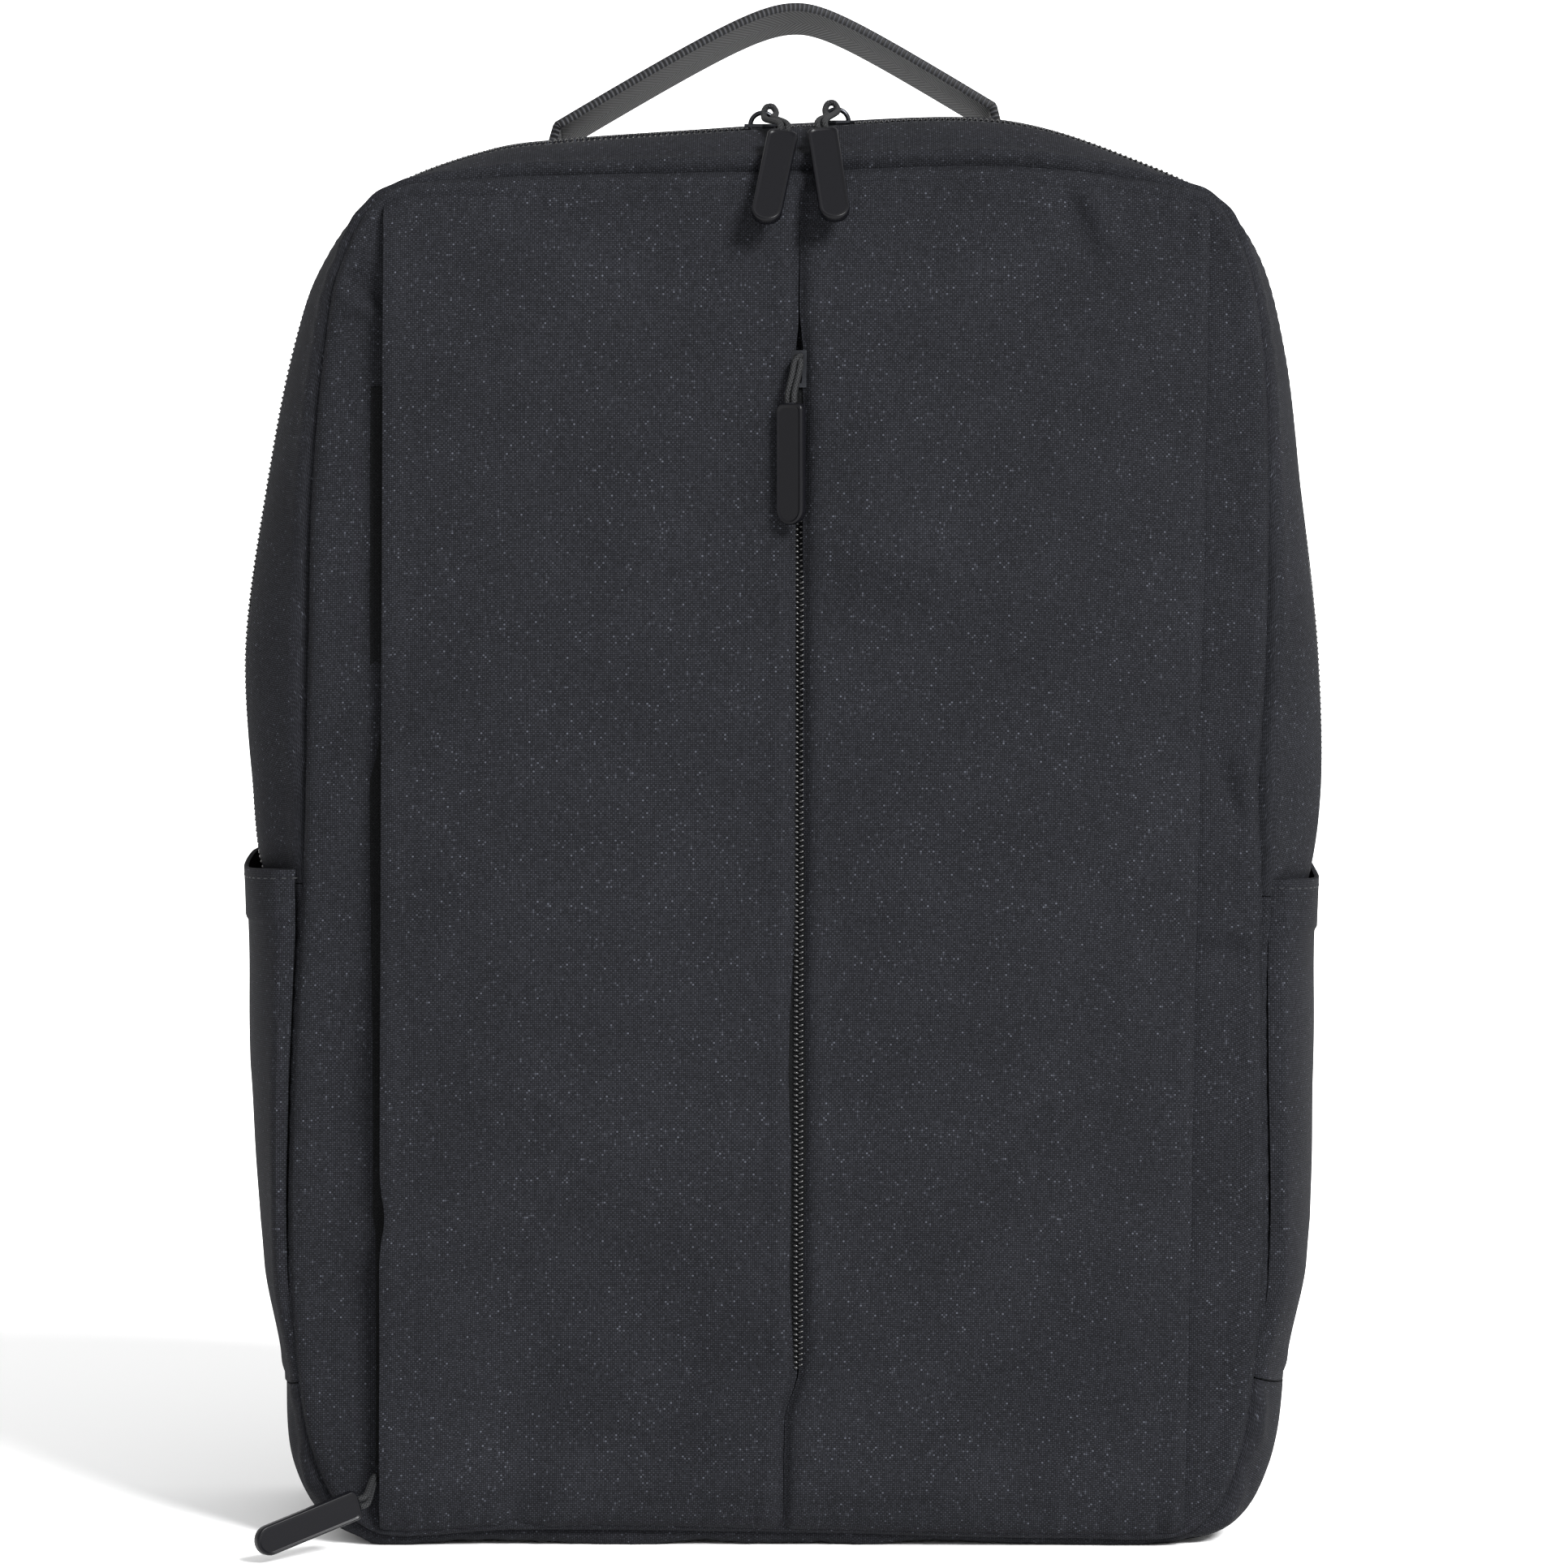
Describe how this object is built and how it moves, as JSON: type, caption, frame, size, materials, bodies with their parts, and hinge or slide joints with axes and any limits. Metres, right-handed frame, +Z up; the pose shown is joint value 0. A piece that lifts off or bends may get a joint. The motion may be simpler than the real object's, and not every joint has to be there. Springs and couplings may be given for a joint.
{
  "type": "laptop backpack",
  "caption": "Boxy cloth laptop backpack with a split front pocket, a zip over the top, side pockets, a carry handle and shoulder straps, standing on its base.",
  "frame": {"origin": "middle of the flat underside of the base, on which the bag stands", "axes": "+Z up, the front with the centre zip faces -Y, the shoulder straps are at +Y, +X is to the right as seen from the front"},
  "size_m": [0.3225, 0.1902, 0.4564],
  "materials": {
    "bag_cloth": "matt charcoal polyester in a fine plain weave with light flecks",
    "padded_cloth": "matt black polyester over foam",
    "zip_tape": "black knitted zip tape with a nylon coil",
    "webbing": "black ribbed polyester webbing",
    "pull_cord": "black braided cord",
    "pull_plastic": "satin black moulded plastic",
    "buckle_plastic": "matt black moulded plastic",
    "slider_metal": "dark lacquered zinc"
  },
  "bodies": {
    "root": {"front_panel": "bag_cloth", "base_panel": "bag_cloth", "gusset_front": "bag_cloth", "gusset_rear": "bag_cloth", "side_panel_left": "bag_cloth", "side_panel_right": "bag_cloth", "overlay_left": "bag_cloth", "overlay_right": "bag_cloth", "side_pocket_left": "bag_cloth", "side_pocket_right": "bag_cloth", "back_panel": "padded_cloth", "shoulder_pad_left": "padded_cloth", "shoulder_pad_right": "padded_cloth", "main_zip": "zip_tape", "centre_zip": "zip_tape", "side_zip": "zip_tape", "carry_handle": "webbing", "lower_webbing_left": "webbing", "lower_webbing_right": "webbing", "pull_cord_top_left": "pull_cord", "pull_cord_top_right": "pull_cord", "pull_cord_centre": "pull_cord", "pull_cord_side": "pull_cord", "pull_tab_top_left": "pull_plastic", "pull_tab_top_right": "pull_plastic", "pull_tab_centre": "pull_plastic", "pull_tab_side": "pull_plastic", "ladder_lock_left": "buckle_plastic", "ladder_lock_right": "buckle_plastic", "slider_top_left": "slider_metal", "slider_top_right": "slider_metal", "slider_centre": "slider_metal", "slider_side": "slider_metal"}
  },
  "joints": []
}
